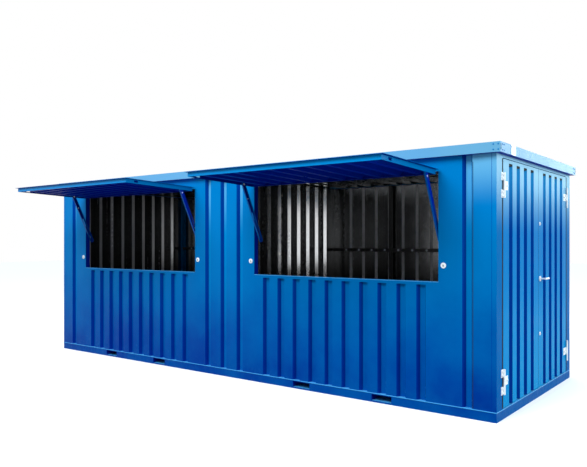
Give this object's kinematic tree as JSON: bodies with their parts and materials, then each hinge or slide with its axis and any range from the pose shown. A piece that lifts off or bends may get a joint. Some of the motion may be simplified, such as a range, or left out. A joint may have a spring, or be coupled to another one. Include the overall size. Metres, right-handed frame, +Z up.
{
  "type": "container snack bar",
  "caption": "Blue corrugated steel flat-pack container with top-hung serving hatches held open by stays, a double door in one end and fork pockets in its base.",
  "frame": {"origin": "middle of the footprint, on the ground under the middle cross beam", "axes": "+X along the building towards the door end, -Y out of the serving front, +Z up"},
  "size_m": [6.109, 3.2204, 2.25],
  "materials": {
    "blue_paint": "semi-gloss paint",
    "galvanised": "galvanised",
    "zinc": "bright zinc",
    "deck": "coated plywood"
  },
  "bodies": {
    "root": {"base_front_rail": "blue_paint", "base_back_rail": "blue_paint", "base_end_rails": "blue_paint", "base_cross_beams": "galvanised", "fork_tunnels": "blue_paint", "floor_deck": "deck", "corner_posts_left": "blue_paint", "corner_posts_right": "blue_paint", "front_pier_left": "blue_paint", "front_pier_middle": "blue_paint", "front_pier_right": "blue_paint", "front_panel_left": "blue_paint", "front_panel_right": "blue_paint", "serving_jambs": "blue_paint", "serving_sills": "blue_paint", "serving_heads": "blue_paint", "back_wall_left": "blue_paint", "back_wall_right": "blue_paint", "left_end_wall": "blue_paint", "partition_wall": "galvanised", "back_wall_bracing": "galvanised", "door_head": "blue_paint", "roof_sheet_left": "galvanised", "roof_sheet_right": "galvanised", "roof_front_fascia": "blue_paint", "roof_back_fascia": "blue_paint", "roof_left_fascia": "blue_paint", "roof_right_fascia": "blue_paint", "roof_joint_strap": "zinc", "hatch_hinge_plates": "blue_paint", "stay_pins": "blue_paint", "hatch_locks": "zinc", "door_hinge_lugs": "zinc"},
    "hatch_left": {"hatch_left_skin": "blue_paint", "hatch_left_frame": "blue_paint", "hatch_left_hook": "blue_paint"},
    "hatch_right": {"hatch_right_skin": "blue_paint", "hatch_right_frame": "blue_paint", "hatch_right_hook": "blue_paint"},
    "stay_left_outer": {"stay_left_outer": "blue_paint"},
    "stay_left_inner": {"stay_left_inner": "blue_paint"},
    "stay_right_inner": {"stay_right_inner": "blue_paint"},
    "stay_right_outer": {"stay_right_outer": "blue_paint"},
    "door_front": {"door_front_skin": "blue_paint", "door_front_frame": "blue_paint", "door_front_straps": "zinc"},
    "door_back": {"door_back_skin": "blue_paint", "door_back_frame": "blue_paint", "door_back_straps": "zinc", "door_locks": "zinc"},
    "lever": {"lever_handle": "zinc"}
  },
  "joints": [
    {"name": "hatch_left_hinge", "type": "hinge", "parent": "root", "child": "hatch_left", "pos_m": [-1.47, -1.109, 2.064], "axis": [1, 0, 0], "range_deg": [0, 92]},
    {"name": "hatch_right_hinge", "type": "hinge", "parent": "root", "child": "hatch_right", "pos_m": [1.47, -1.109, 2.064], "axis": [1, 0, 0], "range_deg": [0, 92]},
    {"name": "stay_left_outer_pivot", "type": "hinge", "parent": "hatch_left", "child": "stay_left_outer", "pos_m": [-2.475, -1.295, 2.03848], "axis": [1, 0, 0], "range_deg": [-113.73, 0]},
    {"name": "stay_left_inner_pivot", "type": "hinge", "parent": "hatch_left", "child": "stay_left_inner", "pos_m": [-0.465, -1.295, 2.03848], "axis": [1, 0, 0], "range_deg": [-113.73, 0]},
    {"name": "stay_right_outer_pivot", "type": "hinge", "parent": "hatch_right", "child": "stay_right_outer", "pos_m": [2.475, -1.295, 2.03848], "axis": [1, 0, 0], "range_deg": [-113.73, 0]},
    {"name": "stay_right_inner_pivot", "type": "hinge", "parent": "hatch_right", "child": "stay_right_inner", "pos_m": [0.465, -1.295, 2.03848], "axis": [1, 0, 0], "range_deg": [-113.73, 0]},
    {"name": "door_front_hinge", "type": "hinge", "parent": "root", "child": "door_front", "pos_m": [3.012, -0.954, 1.1], "axis": [0, 0, -1], "range_deg": [0, 180]},
    {"name": "door_back_hinge", "type": "hinge", "parent": "root", "child": "door_back", "pos_m": [3.012, 0.954, 1.1], "axis": [0, 0, 1], "range_deg": [0, 180]},
    {"name": "lever_turn", "type": "hinge", "parent": "door_back", "child": "lever", "pos_m": [3, 0.038, 1.108], "axis": [-1, 0, 0], "range_deg": [0, 40], "stiffness_Nm_per_rad": 2.5}
  ],
  "couplings": [
    {"joint": "stay_left_outer_pivot", "follows": "hatch_left_hinge", "ratio": -1.2308},
    {"joint": "stay_left_inner_pivot", "follows": "hatch_left_hinge", "ratio": -1.2308},
    {"joint": "stay_right_outer_pivot", "follows": "hatch_right_hinge", "ratio": -1.2308},
    {"joint": "stay_right_inner_pivot", "follows": "hatch_right_hinge", "ratio": -1.2308}
  ]
}
